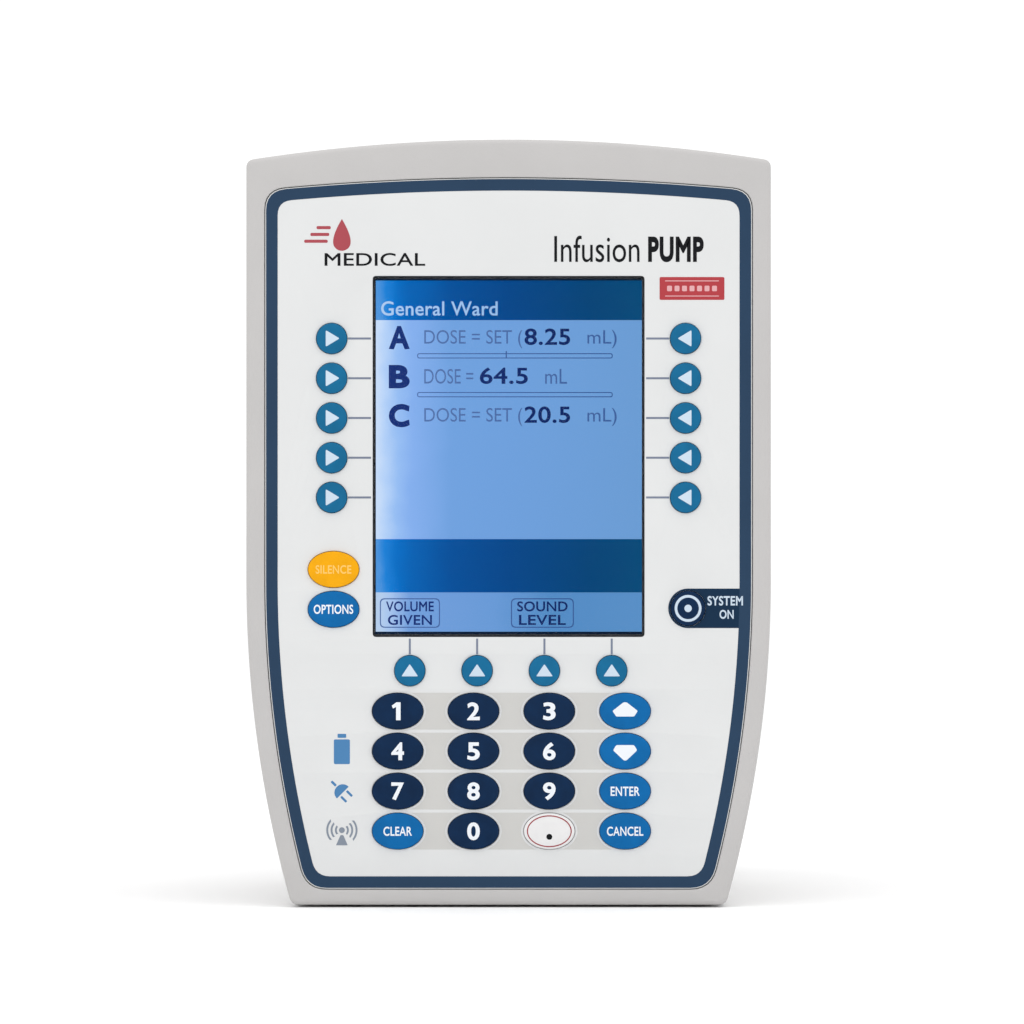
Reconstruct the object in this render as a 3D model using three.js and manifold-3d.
// Bedside infusion pump, central control unit: a face with a portrait display and 33 keys, a deep
// rear case with a carry handle, connectors for pump modules on both sides, and a screw clamp for
// an infusion pole at the back.
//
// Millimetres. +X is to the right of someone facing the keys, +Y goes back through the unit and +Z
// is up. The origin is under the middle of the whole unit, on the surface that it stands on.
// Inside the sections below, a depth is measured back from the front face of the grey bezel.
import * as THREE from "three";
import { mergeVertices } from "three/addons/utils/BufferGeometryUtils.js";
import Module from "manifold-3d";

const wasm = await Module();
wasm.setup();

// ---------------------------------------------------------------- driving dimensions

const GAP = 0.3; // air between pieces that touch or nearly touch
const FLOOR_CLEARANCE = 0.8; // the bezel's lower edge stays this far off the table

// Outline of the bezel, seen from the front. The sides are upright down to BEND_HEIGHT and curve
// in below it.
const BEND_HEIGHT = 105;
const BEZEL = { half: 85, bottom: 0, top: 248, topRadius: 541, sideRadius: 385, corner: 2.4 };
const PANEL = { half: 78.8, bottom: 5.3, top: 235.4, topRadius: 803, sideRadius: 379, corner: 6.5 };

// Depths, front to back.
const BEZEL_DEPTH = 26;
const BEZEL_WALL = 3;
const BEZEL_EDGE = 1.6; // the rounding of its front and back edges
const PANEL_FRONT = 0.4;
const PANEL_THICKNESS = 2;
const LEDGE_WIDTH = 4; // the step in the bezel that the panel is glued to
const LEDGE_THICKNESS = 2;
const KEY_RIM = -0.3; // where a cap's edge stands, in front of the bezel face
const KEY_CROWN = -0.8; // the middle of a cap
const KEY_BACK = 3.4;
const KEY_MAT = { front: 4.9, back: 5.7 };
const KEY_BOARD = { front: 6, back: 7.6 };
const LAYER_PLAY = 1.4; // room round the mat and the board
const KEY_CLEARANCE = 0.35; // between a cap and its hole in the panel

// Keys: round soft keys beside and below the display, oval keys elsewhere.
const SOFT_KEY_RADIUS = 4.95;
const OVAL_HALF_WIDTH = 8.25;
const OVAL_HALF_HEIGHT = 5.85;
const SOFT_COLUMN = { x: 57.3, middleZ: 157.75, pitch: 12.87 };
const SOFT_ROW = { x: 0.7, z: 75.9, pitch: 21.8 };
const KEYPAD = { x: 0.9, z: 62.8, pitchX: 24.55, pitchZ: 12.95 };
const SIDE_OVALS = { x: -56.7, silenceZ: 108.7, optionsZ: 95.8 };
const SYSTEM_ON = { x: 58.1, z: 96.1, radius: 5.6 };

// Display.
const WINDOW = { z: 145.3, width: 88.1, height: 117 };
const ACTIVE = { width: 86.4, height: 115.2 }; // a 5.7 inch panel, upright
const LCD_MODULE = { width: 96, height: 128, front: 5.5, depth: 7 };
const LENS = { front: 0.7, back: 2.2 };
const GLASS_SINK = 0.5; // how far the picture area lies below the module's frame
const GASKET_OVERLAP = 2; // how far the gasket reaches past the window on each side
const LCD_DRIVER = { half: 34, bottom: 95.3, top: 125.3, depth: 1.8 }; // box on the module's back

// Inside the case.
const CHASSIS = { half: 65, bottom: 62, top: 188, front: 16, back: 44, sheet: 1.5 };
const CABLE_SLOT = { half: 24, bottom: 84, top: 96 };
const MAIN_BOARD = { half: 60, bottom: 66, top: 184, standoff: 4, thickness: 1.6 };
const POWER_SUPPLY = { left: 8, right: 62, front: 50, back: 84, bottom: 76, top: 180 };
const FIN = { count: 5, first: 14, pitch: 10, width: 3, back: 96, inset: 6 };
const BATTERY = { left: -55, right: -7, front: 84, back: 152, bottom: 11, top: 61 };
const SPEAKER = { radius: 19, depth: 7, magnetRadius: 11, magnetDepth: 17 };

// Rear case: a flange that closes the bezel, and a narrower box behind it.
const FLANGE_DEPTH = 10;
const CASE = { half: 73, bottom: 4, top: 196, topRadius: 4000, sideRadius: 373, corner: 9 };
const CASE_WALL = 3;
const CASE_BACK = 158;
const CASE_EDGE = 3; // the rounding of the case's edges
const FLANGE_INSET = 1.5; // the flange stands this far inside the bezel's outline
const FLANGE_EDGE = 1.2;
const OVERCUT = 2; // how far a cutting shape runs past the material that it cuts

// What passes through the rear wall of the case.
const BATTERY_DOOR = { x: -31, z: 36, width: 50, height: 48, overlap: 2.5, play: 0.5 };
const DOOR_SCREW = { drop: 16, headRadius: 5, shankRadius: 2, holeRadius: 2.3, slotWidth: 1.4 };
const INLET = { x: 34, z: 28, width: 27, height: 20, flange: 5, lip: 2, proud: 2.5, depth: 22 };
const INLET_CAVITY = { width: 24, height: 16.5, depth: 17 };
const INLET_PIN = { halfWidth: 1, halfHeight: 2, sunk: 2.5, spread: 7, below: 2.2, above: 3.6 };
const PORTS = { x: 34, z: 54, width: 36, height: 14, proud: 1, depth: 18 };
const PORT_SOCKET = { width: 12.4, height: 9, depth: 14, spread: 8.6 };
const TAMPER = { x: 46, z: 166, radius: 4, proud: 2.6, inside: 4, chamfer: 0.7 };
const GRILLE = { x: -40, z: 166, slots: 6, pitch: 5, width: 2.2, height: 26 };

// Module connectors on the sides of the case: a tongue on the left, a socket on the right.
const MODULE_PORT = { front: 62, depth: 40, z: 138, height: 62, plate: 2.5 };
const MODULE_BODY = { depth: 27, height: 48, proud: 8.5 };
const MODULE_SOCKET = { depth: 15, height: 38, deep: 6.5 };
const MODULE_TONGUE = { depth: 9, height: 32 };
const MODULE_STEP = { depth: 19, height: 42, proud: 4.5 };
const LATCH = { radius: 3, start: 1, end: 7, inset: 5 };

// Rubber strips underneath.
const FOOT = { x: 40, width: 12, length: 104, middle: 92 };

// Carry handle.
const HANDLE = { half: 63, top: 240, thickness: 15, front: 66, depth: 24, radius: 15 };
const HANDLE_INNER_RADIUS = 8;
const HANDLE_EDGE = 3;

// Pole clamp. The pole stands upright between the fixed jaw and the pad.
const CLAMP = { bottom: 72, height: 56, base: 10, jawLeft: -40, jawWall: 14, reach: 46 };
const CLAMP_CHAMFER = 3;
const POLE_STANDOFF = 21; // from the clamp's base to the pole's axis
const JAW_VEE = { depth: 6, half: 17 };
const SCREW_ARM = { left: 18, width: 18, reach: 40 };
const BOSS = { radius: 11, length: 6 };
const SCREW_RADIUS = 5;
const NECK = { radius: 4, length: 5.5, chamfer: 1 }; // the screw's plain end, turning in the pad
const PAD = { thickness: 8.5, depth: 22, height: 34, opens: 4, closes: 18, hollow: 1.5 };
const PAD_HOLLOW_RADIUS = 16;
const KNOB = { radius: 18, length: 22, hub: 6, bite: 4, edge: 2, lobes: 6, lobeDepth: 2.2 };
const KNOB_RIM_POINTS = 36;
const KNOB_PLAY = 1; // left between the knob and the boss when the pad is fully closed

// Depths that follow from the ones above.
const LEDGE_FRONT = PANEL_FRONT + PANEL_THICKNESS + GAP;
const CASE_FRONT = BEZEL_DEPTH + GAP;
const CLAMP_FRONT = CASE_BACK + GAP;
const POLE_DEPTH = CLAMP_FRONT + CLAMP.base + POLE_STANDOFF;
const UNIT_BACK = CLAMP_FRONT + CLAMP.base + CLAMP.reach;
const MIDDLE_DEPTH = (KEY_CROWN + UNIT_BACK) / 2;
const CLAMP_HEIGHT = CLAMP.bottom + CLAMP.height / 2;

// Places along the clamp screw, in X, with the pad a little short of fully open.
const ARM_RIGHT = SCREW_ARM.left + SCREW_ARM.width;
const PAD_BACK = SCREW_ARM.left - GAP - PAD.opens;
const NECK_TIP = PAD_BACK - NECK.length;
const KNOB_LEFT = ARM_RIGHT + BOSS.length + PAD.closes + KNOB_PLAY;

// ---------------------------------------------------------------- materials

const finish = (color, roughness, metalness = 0) =>
  new THREE.MeshStandardMaterial({ color, roughness, metalness });

const MATERIAL = {
  casing: finish(0xc9c8c6, 0.55),
  panel: finish(0xe8e9e7, 0.4),
  navyKey: finish(0x173c59, 0.35),
  blueKey: finish(0x1c6da6, 0.35),
  orangeKey: finish(0xf0ae1c, 0.35),
  whiteKey: finish(0xe9e7e6, 0.35),
  window: finish(0x2b5f9c, 0.08),
  black: finish(0x15171a, 0.6),
  rubber: finish(0x26282b, 0.9),
  board: finish(0x1f5a3c, 0.5),
  metal: finish(0xb9bcbf, 0.35, 0.9),
  castMetal: finish(0x8d9194, 0.5, 0.6),
  silicone: finish(0x8b8f94, 0.8),
  battery: finish(0x3a4a63, 0.5),
};

// ---------------------------------------------------------------- shape helpers

// A closed geometry as a solid that can be joined to others and cut.
function solidOf(geometry) {
  const bare = new THREE.BufferGeometry().setAttribute(
    "position",
    (geometry.index ? geometry.toNonIndexed() : geometry).getAttribute("position"),
  );
  const merged = mergeVertices(bare, 1e-3);
  return new wasm.Manifold(
    new wasm.Mesh({
      numProp: 3,
      vertProperties: merged.attributes.position.array,
      triVerts: new Uint32Array(merged.index.array),
    }),
  );
}

// A solid back as a geometry.
function geometryOf(solid) {
  const mesh = solid.getMesh();
  const geometry = new THREE.BufferGeometry();
  geometry.setAttribute("position", new THREE.BufferAttribute(mesh.vertProperties, 3));
  geometry.setIndex(new THREE.BufferAttribute(mesh.triVerts, 1));
  return geometry.toNonIndexed();
}

// Joins the first list of geometries, then cuts the second list out of it.
function carve(added, removed = []) {
  let solid = solidOf(added[0]);
  for (const geometry of added.slice(1)) {
    solid = solid.add(solidOf(geometry));
  }
  for (const geometry of removed) {
    solid = solid.subtract(solidOf(geometry));
  }
  return geometryOf(solid);
}

// A shape drawn in X and Z, made solid from depth `front` to depth `back`.
function plate(shape, front, back, curveSegments = 5) {
  const depth = back - front;
  const geometry = new THREE.ExtrudeGeometry(shape, { depth, bevelEnabled: false, curveSegments });
  return geometry.rotateX(Math.PI / 2).translate(0, back, 0);
}

// The same with rounded front and back edges.
function softPlate(shape, front, back, edge, bevelSegments = 1) {
  const geometry = new THREE.ExtrudeGeometry(shape, {
    depth: back - front - 2 * edge,
    bevelThickness: edge,
    bevelSize: edge,
    bevelOffset: -edge,
    bevelSegments,
    curveSegments: 5,
  });
  return geometry.rotateX(Math.PI / 2).translate(0, back - edge, 0);
}

// A shape drawn in X and depth, made solid from height `bottom` to height `top`.
function pillar(shape, bottom, top, curveSegments = 6) {
  const depth = top - bottom;
  const geometry = new THREE.ExtrudeGeometry(shape, { depth, bevelEnabled: false, curveSegments });
  return geometry.translate(0, 0, bottom);
}

// A box from one corner to the other: [x, depth, z].
function block(low, high) {
  const size = high.map((value, i) => value - low[i]);
  const middle = high.map((value, i) => (value + low[i]) / 2);
  return new THREE.BoxGeometry(...size).translate(...middle);
}

// A cylinder with its axis along X, from x0 to x1.
function rodX(radius, x0, x1, depth, z, segments = 20) {
  const geometry = new THREE.CylinderGeometry(radius, radius, x1 - x0, segments);
  return geometry.rotateZ(Math.PI / 2).translate((x0 + x1) / 2, depth, z);
}

// A cylinder with its axis along the depth, from `front` to `back`.
function rodY(radius, front, back, x, z, segments = 20) {
  const geometry = new THREE.CylinderGeometry(radius, radius, back - front, segments);
  return geometry.translate(x, (front + back) / 2, z);
}

// A profile of [radius, distance] points turned about the X axis; distance runs along +X.
function turnedX(points, segments) {
  const profile = points.map(([radius, distance]) => new THREE.Vector2(radius, distance));
  return new THREE.LatheGeometry(profile, segments).rotateZ(-Math.PI / 2);
}

function rectangle(width, height, x = 0, z = 0) {
  return new THREE.Shape()
    .moveTo(x - width / 2, z - height / 2)
    .lineTo(x + width / 2, z - height / 2)
    .lineTo(x + width / 2, z + height / 2)
    .lineTo(x - width / 2, z + height / 2);
}

function oval(halfWidth, halfHeight, x, z) {
  return new THREE.Shape().absellipse(x, z, halfWidth, halfHeight, 0, 2 * Math.PI);
}

// The outline that the bezel, panel and case share: a flat bottom, sides that bend in below
// BEND_HEIGHT, and a crowned top. `inset` moves every edge inwards.
function faceOutline(size, inset = 0) {
  const half = size.half - inset;
  const bottom = size.bottom + inset;
  const sideRadius = size.sideRadius - inset;
  const topRadius = size.topRadius - inset;
  const cut = Math.max(size.corner - inset * 0.5, 1);
  const bendX = half - sideRadius;
  const crownZ = size.top - size.topRadius;
  const sideX = (z) => bendX + Math.sqrt(sideRadius ** 2 - (z - BEND_HEIGHT) ** 2);
  const topZ = (x) => crownZ + Math.sqrt(topRadius ** 2 - x ** 2);
  const footX = sideX(bottom);
  const footAngle = Math.asin((bottom + cut - BEND_HEIGHT) / sideRadius);
  const crownAngle = Math.acos((half - cut) / topRadius);
  return new THREE.Shape()
    .moveTo(-footX + cut, bottom)
    .lineTo(footX - cut, bottom)
    .quadraticCurveTo(footX, bottom, sideX(bottom + cut), bottom + cut)
    .absarc(bendX, BEND_HEIGHT, sideRadius, footAngle, 0)
    .lineTo(half, topZ(half) - cut)
    .quadraticCurveTo(half, topZ(half), half - cut, topZ(half - cut))
    .absarc(0, crownZ, topRadius, crownAngle, Math.PI - crownAngle)
    .quadraticCurveTo(-half, topZ(half), -half, topZ(half) - cut)
    .lineTo(-half, BEND_HEIGHT)
    .absarc(-bendX, BEND_HEIGHT, sideRadius, Math.PI, Math.PI - footAngle)
    .quadraticCurveTo(-footX, bottom, -footX + cut, bottom);
}

// ---------------------------------------------------------------- the unit

const unit = new THREE.Group();
const assembly = new THREE.Group();
assembly.position.set(0, -MIDDLE_DEPTH, FLOOR_CLEARANCE);
unit.add(assembly);

function addPiece(name, geometry, material) {
  const mesh = new THREE.Mesh(geometry, material);
  mesh.name = name;
  assembly.add(mesh);
  return mesh;
}

// Every key: its name, where its middle is, how far it reaches each way, and its colour.
function listKeys() {
  const keys = [];
  const addOval = (name, x, z, material) =>
    keys.push({ name, x, z, halfX: OVAL_HALF_WIDTH, halfZ: OVAL_HALF_HEIGHT, material });
  const addRound = (name, x, z, radius, material) =>
    keys.push({ name, x, z, halfX: radius, halfZ: radius, material });

  for (let row = 0; row < 5; row += 1) {
    const z = SOFT_COLUMN.middleZ + (2 - row) * SOFT_COLUMN.pitch;
    addRound(`soft_left_${row + 1}`, -SOFT_COLUMN.x, z, SOFT_KEY_RADIUS, MATERIAL.blueKey);
    addRound(`soft_right_${row + 1}`, SOFT_COLUMN.x, z, SOFT_KEY_RADIUS, MATERIAL.blueKey);
  }
  for (let column = 0; column < 4; column += 1) {
    const x = SOFT_ROW.x + (column - 1.5) * SOFT_ROW.pitch;
    addRound(`soft_bottom_${column + 1}`, x, SOFT_ROW.z, SOFT_KEY_RADIUS, MATERIAL.blueKey);
  }
  const rows = [
    ["1", "2", "3", "up"],
    ["4", "5", "6", "down"],
    ["7", "8", "9", "enter"],
    ["clear", "0", "point", "cancel"],
  ];
  rows.forEach((row, i) =>
    row.forEach((label, j) => {
      const digit = /^[0-9]$/.test(label);
      const plain = label === "point" ? MATERIAL.whiteKey : MATERIAL.blueKey;
      const x = KEYPAD.x + (j - 1.5) * KEYPAD.pitchX;
      addOval(`key_${label}`, x, KEYPAD.z - i * KEYPAD.pitchZ, digit ? MATERIAL.navyKey : plain);
    }),
  );
  addOval("key_silence", SIDE_OVALS.x, SIDE_OVALS.silenceZ, MATERIAL.orangeKey);
  addOval("key_options", SIDE_OVALS.x, SIDE_OVALS.optionsZ, MATERIAL.blueKey);
  addRound("key_system_on", SYSTEM_ON.x, SYSTEM_ON.z, SYSTEM_ON.radius, MATERIAL.navyKey);
  return keys;
}

const KEYS = listKeys();
const KEY_SEGMENTS = 16;

// Grey front shell. The panel drops into it from the front; the rear case closes it.
function addBezel() {
  const shell = softPlate(faceOutline(BEZEL), 0, BEZEL_DEPTH, BEZEL_EDGE, 3);
  const past = BEZEL_DEPTH + OVERCUT;
  const recess = plate(faceOutline(PANEL, -GAP), -OVERCUT, LEDGE_FRONT);
  const opening = plate(faceOutline(PANEL, LEDGE_WIDTH), 0, past);
  const cavity = plate(faceOutline(BEZEL, BEZEL_WALL), LEDGE_FRONT + LEDGE_THICKNESS, past);
  addPiece("front_bezel", carve([shell], [recess, opening, cavity]), MATERIAL.casing);
}

// Stiff printed panel with the window cut-out and a hole for each key.
function addPanel() {
  const shape = faceOutline(PANEL);
  shape.holes.push(rectangle(WINDOW.width, WINDOW.height, 0, WINDOW.z));
  const panel = plate(shape, PANEL_FRONT, PANEL_FRONT + PANEL_THICKNESS);
  const holes = KEYS.map((key) =>
    plate(
      oval(key.halfX + KEY_CLEARANCE, key.halfZ + KEY_CLEARANCE, key.x, key.z),
      PANEL_FRONT - OVERCUT,
      PANEL_FRONT + PANEL_THICKNESS + OVERCUT,
      KEY_SEGMENTS / 2, // an ellipse gets twice this many points
    ),
  );
  addPiece("front_panel", carve([panel], holes), MATERIAL.panel);
}

// One crowned cap for each key, bonded to the silicone mat behind the panel.
function addKeys() {
  const profile = [
    [0, KEY_CROWN],
    [0.75, KEY_CROWN * 0.75], // three quarters of the way out, a quarter of the way down
    [1, KEY_RIM],
    [1, KEY_BACK],
    [0, KEY_BACK],
  ];
  const points = profile.map(([radius, depth]) => new THREE.Vector2(radius, depth));
  for (const key of KEYS) {
    const cap = new THREE.LatheGeometry(points, KEY_SEGMENTS);
    const mesh = addPiece(key.name, cap.scale(key.halfX, 1, key.halfZ), key.material);
    mesh.position.set(key.x, 0, key.z);
  }
}

// Clear window, its gasket and the display module behind it.
function addDisplay() {
  const lens = rectangle(WINDOW.width - 2 * GAP, WINDOW.height - 2 * GAP, 0, WINDOW.z);
  addPiece("display_window", plate(lens, LENS.front, LENS.back), MATERIAL.window);

  const sealWidth = WINDOW.width + 2 * GASKET_OVERLAP;
  const sealHeight = WINDOW.height + 2 * GASKET_OVERLAP;
  const seal = rectangle(sealWidth, sealHeight, 0, WINDOW.z);
  seal.holes.push(rectangle(ACTIVE.width, ACTIVE.height, 0, WINDOW.z));
  addPiece("display_gasket", plate(seal, LEDGE_FRONT, LCD_MODULE.front - GAP), MATERIAL.black);

  const front = LCD_MODULE.front;
  const back = front + LCD_MODULE.depth;
  const outline = rectangle(LCD_MODULE.width, LCD_MODULE.height, 0, WINDOW.z);
  const glass = rectangle(ACTIVE.width, ACTIVE.height, 0, WINDOW.z);
  const driver = block(
    [-LCD_DRIVER.half, back - GLASS_SINK, LCD_DRIVER.bottom],
    [LCD_DRIVER.half, back + LCD_DRIVER.depth, LCD_DRIVER.top],
  );
  const sunk = plate(glass, front - OVERCUT, front + GLASS_SINK);
  addPiece("lcd_module", carve([plate(outline, front, back), driver], [sunk]), MATERIAL.metal);
}

// Silicone mat with the key domes, and the switch board that it presses on. Both go round the
// display module.
function addKeypadLayers() {
  const layers = [
    { name: "key_mat", size: KEY_MAT, material: MATERIAL.silicone },
    { name: "keypad_board", size: KEY_BOARD, material: MATERIAL.board },
  ];
  for (const { name, size, material } of layers) {
    const shape = faceOutline(PANEL, LEDGE_WIDTH + LAYER_PLAY);
    const width = LCD_MODULE.width + LAYER_PLAY;
    const height = LCD_MODULE.height + LAYER_PLAY;
    shape.holes.push(rectangle(width, height, 0, WINDOW.z));
    addPiece(name, plate(shape, size.front, size.back), material);
  }
}

// Folded sheet-metal chassis that carries the display on one side and the main board on the other.
function addChassis() {
  const { half, bottom, top, front, back, sheet } = CHASSIS;
  const channel = new THREE.Shape()
    .moveTo(-half, front)
    .lineTo(half, front)
    .lineTo(half, back)
    .lineTo(half - sheet, back)
    .lineTo(half - sheet, front + sheet)
    .lineTo(-half + sheet, front + sheet)
    .lineTo(-half + sheet, back)
    .lineTo(-half, back);
  const slot = block(
    [-CABLE_SLOT.half, front - OVERCUT, CABLE_SLOT.bottom],
    [CABLE_SLOT.half, front + sheet + OVERCUT, CABLE_SLOT.top],
  );
  addPiece("chassis_plate", carve([pillar(channel, bottom, top)], [slot]), MATERIAL.metal);
}

// Main circuit board on standoffs behind the chassis, with its largest parts.
function addMainBoard() {
  const front = CHASSIS.front + CHASSIS.sheet + MAIN_BOARD.standoff;
  const back = front + MAIN_BOARD.thickness;
  const board = block(
    [-MAIN_BOARD.half, front, MAIN_BOARD.bottom],
    [MAIN_BOARD.half, back, MAIN_BOARD.top],
  );
  const chips = [
    { x: -40, z: 150, width: 26, height: 26, depth: 3 },
    { x: 6, z: 152, width: 34, height: 22, depth: 2.4 },
    { x: -36, z: 104, width: 18, height: 34, depth: 2 },
    { x: 20, z: 112, width: 22, height: 22, depth: 6 },
    { x: 44, z: 84, width: 12, height: 14, depth: 9 },
  ];
  const parts = chips.map(({ x, z, width, height, depth }) =>
    block([x, back - 0.1, z], [x + width, back + depth, z + height]),
  );
  addPiece("main_board", carve([board, ...parts]), MATERIAL.board);
}

// Power supply with cooling fins.
function addPowerSupply() {
  const { left, right, front, back, bottom, top } = POWER_SUPPLY;
  const parts = [block([left, front, bottom], [right, back, top])];
  for (let i = 0; i < FIN.count; i += 1) {
    const x = FIN.first + i * FIN.pitch;
    parts.push(
      block([x, back - 0.1, bottom + FIN.inset], [x + FIN.width, FIN.back, top - FIN.inset]),
    );
  }
  addPiece("power_supply", carve(parts), MATERIAL.metal);
}

// Battery in the bottom of the case, and the loudspeaker behind the grille.
function addBatteryAndSpeaker() {
  const { left, right, front, back, bottom, top } = BATTERY;
  addPiece("battery_pack", block([left, front, bottom], [right, back, top]), MATERIAL.battery);

  const wall = CASE_BACK - CASE_WALL;
  const waist = wall - SPEAKER.depth;
  const cone = rodY(SPEAKER.radius, waist, wall - GAP, GRILLE.x, GRILLE.z);
  const magnet = rodY(
    SPEAKER.magnetRadius,
    wall - SPEAKER.magnetDepth,
    waist + 0.1,
    GRILLE.x,
    GRILLE.z,
  );
  addPiece("speaker", carve([cone, magnet]), MATERIAL.black);
}

// Deep box with a flange at the front, open towards the bezel.
function addRearCase() {
  const flangeBack = CASE_FRONT + FLANGE_DEPTH;
  const flange = softPlate(faceOutline(BEZEL, FLANGE_INSET), CASE_FRONT, flangeBack, FLANGE_EDGE);
  const box = softPlate(faceOutline(CASE), CASE_FRONT, CASE_BACK, CASE_EDGE);
  const inner = CASE_BACK - CASE_WALL;
  const open = CASE_FRONT - OVERCUT;
  const hollow = plate(faceOutline(CASE, CASE_WALL), open, inner);
  const rim = plate(faceOutline(BEZEL, FLANGE_INSET + CASE_WALL), open, flangeBack - CASE_WALL);
  const wall = [inner - OVERCUT, CASE_BACK + OVERCUT];
  const through = (size, play) =>
    plate(rectangle(size.width + 2 * play, size.height + 2 * play, size.x, size.z), ...wall);
  const cuts = [
    hollow,
    rim,
    through(BATTERY_DOOR, 0),
    through(INLET, GAP),
    through(PORTS, GAP),
    rodY(TAMPER.radius + GAP, ...wall, TAMPER.x, TAMPER.z),
  ];
  for (let i = 0; i < GRILLE.slots; i += 1) {
    const x = GRILLE.x + (i - (GRILLE.slots - 1) / 2) * GRILLE.pitch;
    cuts.push(plate(rectangle(GRILLE.width, GRILLE.height, x, GRILLE.z), ...wall));
  }
  addPiece("rear_case", carve([flange, box], cuts), MATERIAL.casing);
}

// Battery door, which lies on the rear wall with a plug in its opening, and the coin screw in it.
function addBatteryDoor() {
  const { x, z, width, height, overlap, play } = BATTERY_DOOR;
  const outside = CASE_BACK + 3;
  const screwZ = z - DOOR_SCREW.drop;
  const lid = rectangle(width + 2 * overlap, height + 2 * overlap, x, z);
  const plug = rectangle(width - 2 * play, height - 2 * play, x, z);
  const cover = [
    plate(lid, CASE_BACK + GAP, outside),
    plate(plug, CASE_BACK - CASE_WALL, CASE_BACK + 2 * GAP),
  ];
  const holeFront = CASE_BACK - CASE_WALL - OVERCUT;
  const hole = rodY(DOOR_SCREW.holeRadius, holeFront, outside + OVERCUT, x, screwZ, 16);
  addPiece("battery_cover", carve(cover, [hole]), MATERIAL.casing);

  const headFront = outside + GAP;
  const headBack = outside + 5;
  const slotHalf = DOOR_SCREW.slotWidth / 2;
  const screw = [
    rodY(DOOR_SCREW.headRadius, headFront, headBack, x, screwZ),
    rodY(DOOR_SCREW.shankRadius, CASE_BACK - 5, headFront + GAP, x, screwZ, 12),
  ];
  const slot = block(
    [x - DOOR_SCREW.headRadius - OVERCUT, headBack - slotHalf * 2, screwZ - slotHalf],
    [x + DOOR_SCREW.headRadius + OVERCUT, headBack + OVERCUT, screwZ + slotHalf],
  );
  addPiece("battery_screw", carve(screw, [slot]), MATERIAL.metal);
}

// Three-pin mains inlet.
function addMainsInlet() {
  const { x, z, width, height } = INLET;
  const face = CASE_BACK + INLET.proud;
  const floor = face - INLET_CAVITY.depth;
  const flange = rectangle(width + 2 * INLET.flange, height + 2 * INLET.lip, x, z);
  const body = [
    plate(rectangle(width, height, x, z), CASE_BACK - INLET.depth, face),
    plate(flange, CASE_BACK + GAP, face),
  ];
  const cavity = rectangle(INLET_CAVITY.width, INLET_CAVITY.height, x, z);
  const pin = (pinX, pinZ) =>
    block(
      [pinX - INLET_PIN.halfWidth, floor - 0.5, pinZ - INLET_PIN.halfHeight],
      [pinX + INLET_PIN.halfWidth, face - INLET_PIN.sunk, pinZ + INLET_PIN.halfHeight],
    );
  const pins = [
    pin(x - INLET_PIN.spread, z - INLET_PIN.below),
    pin(x + INLET_PIN.spread, z - INLET_PIN.below),
    pin(x, z + INLET_PIN.above),
  ];
  const shell = carve(body, [plate(cavity, floor, face + OVERCUT)]);
  addPiece("mains_inlet", carve([shell, ...pins]), MATERIAL.black);
}

// One block with two data sockets.
function addDataPorts() {
  const { x, z, width, height } = PORTS;
  const face = CASE_BACK + PORTS.proud;
  const body = plate(rectangle(width, height, x, z), CASE_BACK - PORTS.depth, face);
  const sockets = [-1, 1].map((side) => {
    const middle = x + side * PORT_SOCKET.spread;
    const mouth = rectangle(PORT_SOCKET.width, PORT_SOCKET.height, middle, z);
    return plate(mouth, face - PORT_SOCKET.depth, face + OVERCUT);
  });
  addPiece("data_ports", carve([body], sockets), MATERIAL.black);
}

// Push switch that locks the keys, on the rear wall.
function addTamperSwitch() {
  const { radius, chamfer } = TAMPER;
  const front = CASE_BACK - CASE_WALL - TAMPER.inside;
  const back = CASE_BACK + TAMPER.proud;
  const points = [
    [0, front],
    [radius, front],
    [radius, back - chamfer],
    [radius - chamfer, back],
    [0, back],
  ];
  const profile = points.map(([distance, depth]) => new THREE.Vector2(distance, depth));
  const button = addPiece("tamper_switch", new THREE.LatheGeometry(profile, 20), MATERIAL.black);
  button.position.set(TAMPER.x, 0, TAMPER.z);
}

// Connectors that pump modules plug on to.
function addModuleConnectors() {
  const middle = MODULE_PORT.front + MODULE_PORT.depth / 2;
  const inner = CASE.half + GAP;
  const outer = inner + MODULE_BODY.proud;
  const slab = (side, x0, x1, { depth, height }) =>
    block(
      [Math.min(side * x0, side * x1), middle - depth / 2, MODULE_PORT.z - height / 2],
      [Math.max(side * x0, side * x1), middle + depth / 2, MODULE_PORT.z + height / 2],
    );
  const base = (side) => slab(side, inner, inner + MODULE_PORT.plate, MODULE_PORT);
  const mouth = slab(1, outer - MODULE_SOCKET.deep, outer + OVERCUT, MODULE_SOCKET);
  const socket = carve([base(1), slab(1, inner, outer, MODULE_BODY)], [mouth]);
  addPiece("right_module_connector", socket, MATERIAL.black);

  const latches = [-1, 1].map((end) => {
    const z = MODULE_PORT.z + end * (MODULE_PORT.height / 2 - LATCH.inset);
    return rodX(LATCH.radius, -inner - LATCH.end, -inner - LATCH.start, middle, z, 16);
  });
  const tongue = [
    base(-1),
    slab(-1, inner, inner + MODULE_STEP.proud, MODULE_STEP),
    slab(-1, inner, outer, MODULE_TONGUE),
  ];
  addPiece("left_module_connector", carve([...tongue, ...latches]), MATERIAL.black);
}

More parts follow.
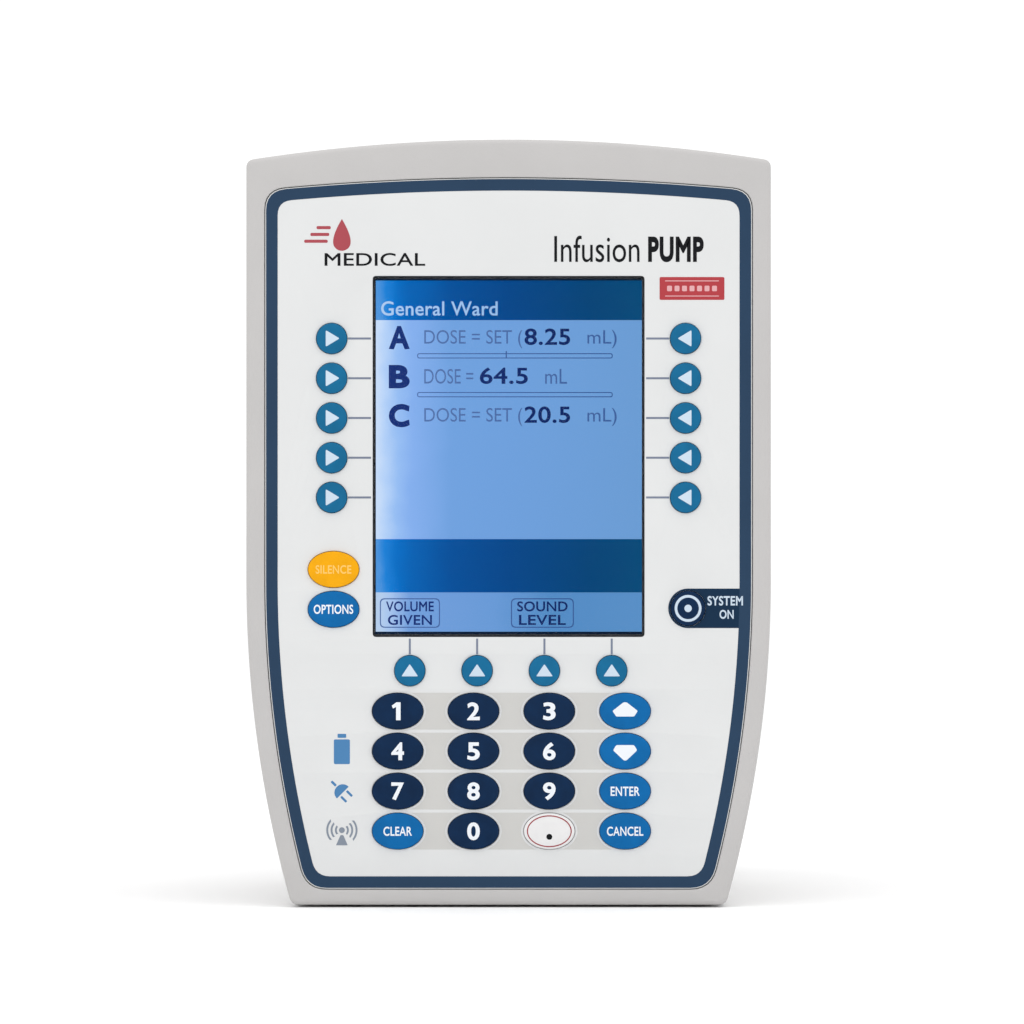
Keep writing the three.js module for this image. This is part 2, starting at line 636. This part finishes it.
// Arched handle that stands on the case, hidden behind the bezel from the front.
function addHandle() {
  const foot = CASE.top + GAP;
  const outer = HANDLE.half;
  const inner = HANDLE.half - HANDLE.thickness;
  const radius = HANDLE.radius;
  const innerRadius = HANDLE_INNER_RADIUS;
  const cornerX = outer - radius;
  const cornerZ = HANDLE.top - radius;
  const innerX = inner - innerRadius;
  const innerTop = HANDLE.top - HANDLE.thickness;
  const innerZ = innerTop - innerRadius;
  const quarter = Math.PI / 2;
  const arch = new THREE.Shape()
    .moveTo(outer, foot)
    .lineTo(outer, cornerZ)
    .absarc(cornerX, cornerZ, radius, 0, quarter)
    .lineTo(-cornerX, HANDLE.top)
    .absarc(-cornerX, cornerZ, radius, quarter, Math.PI)
    .lineTo(-outer, foot)
    .lineTo(-inner, foot)
    .lineTo(-inner, innerZ)
    .absarc(-innerX, innerZ, innerRadius, Math.PI, quarter, true)
    .lineTo(innerX, innerTop)
    .absarc(innerX, innerZ, innerRadius, quarter, 0, true)
    .lineTo(inner, foot);
  const back = HANDLE.front + HANDLE.depth;
  const handle = softPlate(arch, HANDLE.front, back, HANDLE_EDGE, 2);
  addPiece("carry_handle", handle, MATERIAL.casing);
}

// Cast clamp frame, open to the back, with a V-shaped fixed jaw on the left and a threaded arm on
// the right.
function addClampBody() {
  const left = CLAMP.jawLeft;
  const jawX = left + CLAMP.jawWall;
  const floor = CLAMP_FRONT + CLAMP.base;
  const armBack = floor + SCREW_ARM.reach;
  const jawBack = floor + CLAMP.reach;
  const cut = CLAMP_CHAMFER;
  const profile = new THREE.Shape()
    .moveTo(left + cut, CLAMP_FRONT)
    .lineTo(ARM_RIGHT - cut, CLAMP_FRONT)
    .lineTo(ARM_RIGHT, CLAMP_FRONT + cut)
    .lineTo(ARM_RIGHT, armBack - cut)
    .lineTo(ARM_RIGHT - cut, armBack)
    .lineTo(SCREW_ARM.left + cut, armBack)
    .lineTo(SCREW_ARM.left, armBack - cut)
    .lineTo(SCREW_ARM.left, floor)
    .lineTo(jawX, floor)
    .lineTo(jawX, POLE_DEPTH - JAW_VEE.half)
    .lineTo(jawX - JAW_VEE.depth, POLE_DEPTH)
    .lineTo(jawX, POLE_DEPTH + JAW_VEE.half)
    .lineTo(jawX, jawBack - cut)
    .lineTo(jawX - cut, jawBack)
    .lineTo(left + cut, jawBack)
    .lineTo(left, jawBack - cut)
    .lineTo(left, CLAMP_FRONT + cut);
  const frame = pillar(profile, CLAMP.bottom, CLAMP.bottom + CLAMP.height);
  const bossEnd = ARM_RIGHT + BOSS.length;
  const boss = rodX(BOSS.radius, ARM_RIGHT - 1, bossEnd, POLE_DEPTH, CLAMP_HEIGHT);
  const bore = rodX(
    SCREW_RADIUS + GAP,
    SCREW_ARM.left - OVERCUT,
    bossEnd + OVERCUT,
    POLE_DEPTH,
    CLAMP_HEIGHT,
  );
  addPiece("clamp_body", carve([frame, boss], [bore]), MATERIAL.castMetal);
}

// Sliding pad with a hollow face for the pole and a socket for the screw's neck.
function addClampPad() {
  const face = PAD_BACK - PAD.thickness;
  const pad = block(
    [face, POLE_DEPTH - PAD.depth / 2, CLAMP_HEIGHT - PAD.height / 2],
    [PAD_BACK, POLE_DEPTH + PAD.depth / 2, CLAMP_HEIGHT + PAD.height / 2],
  );
  const radius = PAD_HOLLOW_RADIUS;
  const pole = new THREE.CylinderGeometry(radius, radius, PAD.height + OVERCUT, 32);
  pole.rotateX(Math.PI / 2);
  pole.translate(face + PAD.hollow - radius, POLE_DEPTH, CLAMP_HEIGHT);
  const socketRadius = NECK.radius + GAP;
  const socket = rodX(
    socketRadius,
    NECK_TIP - GAP,
    PAD_BACK + OVERCUT,
    POLE_DEPTH,
    CLAMP_HEIGHT,
  );
  addPiece("clamp_pad", carve([pad], [pole, socket]), MATERIAL.rubber);
}

// Screw with a plain neck in the pad and its other end in the knob.
function addClampScrew() {
  const neckLength = PAD_BACK + GAP - NECK_TIP;
  const length = KNOB_LEFT + KNOB.bite - NECK_TIP;
  const points = [
    [0, 0],
    [NECK.radius, 0],
    [NECK.radius, neckLength],
    [SCREW_RADIUS, neckLength + NECK.chamfer],
    [SCREW_RADIUS, length],
    [0, length],
  ];
  const screw = addPiece("clamp_screw", turnedX(points, 20), MATERIAL.metal);
  screw.position.set(NECK_TIP, POLE_DEPTH, CLAMP_HEIGHT);
}

// Lobed knob on a plain hub, with a blind hole for the screw's end.
function addClampKnob() {
  const rim = Array.from({ length: KNOB_RIM_POINTS }, (_, i) => {
    const angle = (i / KNOB_RIM_POINTS) * 2 * Math.PI;
    const wave = Math.abs(Math.cos((angle * KNOB.lobes) / 2));
    const radius = KNOB.radius - KNOB.lobeDepth * (1 - wave);
    return new THREE.Vector2(radius * Math.cos(angle), radius * Math.sin(angle));
  });
  const body = new THREE.ExtrudeGeometry(new THREE.Shape(rim), {
    depth: KNOB.length - KNOB.hub - 2 * KNOB.edge,
    bevelThickness: KNOB.edge,
    bevelSize: KNOB.edge,
    bevelOffset: -KNOB.edge,
    bevelSegments: 1,
  });
  body.rotateY(Math.PI / 2).translate(KNOB.hub + KNOB.edge, 0, 0);
  const hub = rodX(BOSS.radius, 0, KNOB.hub + 1, 0, 0);
  const hole = rodX(SCREW_RADIUS + GAP, -1, KNOB.bite + GAP, 0, 0);
  const knob = addPiece("clamp_knob", carve([hub, body], [hole]), MATERIAL.black);
  knob.position.set(KNOB_LEFT, POLE_DEPTH, CLAMP_HEIGHT);
}

// Two rubber strips that the unit stands on.
function addFeet() {
  for (const [name, side] of [["foot_left", -1], ["foot_right", 1]]) {
    const strip = rectangle(FOOT.width, FOOT.length, side * FOOT.x, FOOT.middle);
    addPiece(name, pillar(strip, -FLOOR_CLEARANCE, CASE.bottom - GAP), MATERIAL.rubber);
  }
}

addBezel();
addPanel();
addKeys();
addDisplay();
addKeypadLayers();
addChassis();
addMainBoard();
addPowerSupply();
addBatteryAndSpeaker();
addRearCase();
addBatteryDoor();
addMainsInlet();
addDataPorts();
addTamperSwitch();
addModuleConnectors();
addHandle();
addClampBody();
addClampPad();
addClampScrew();
addClampKnob();
addFeet();

export default unit;
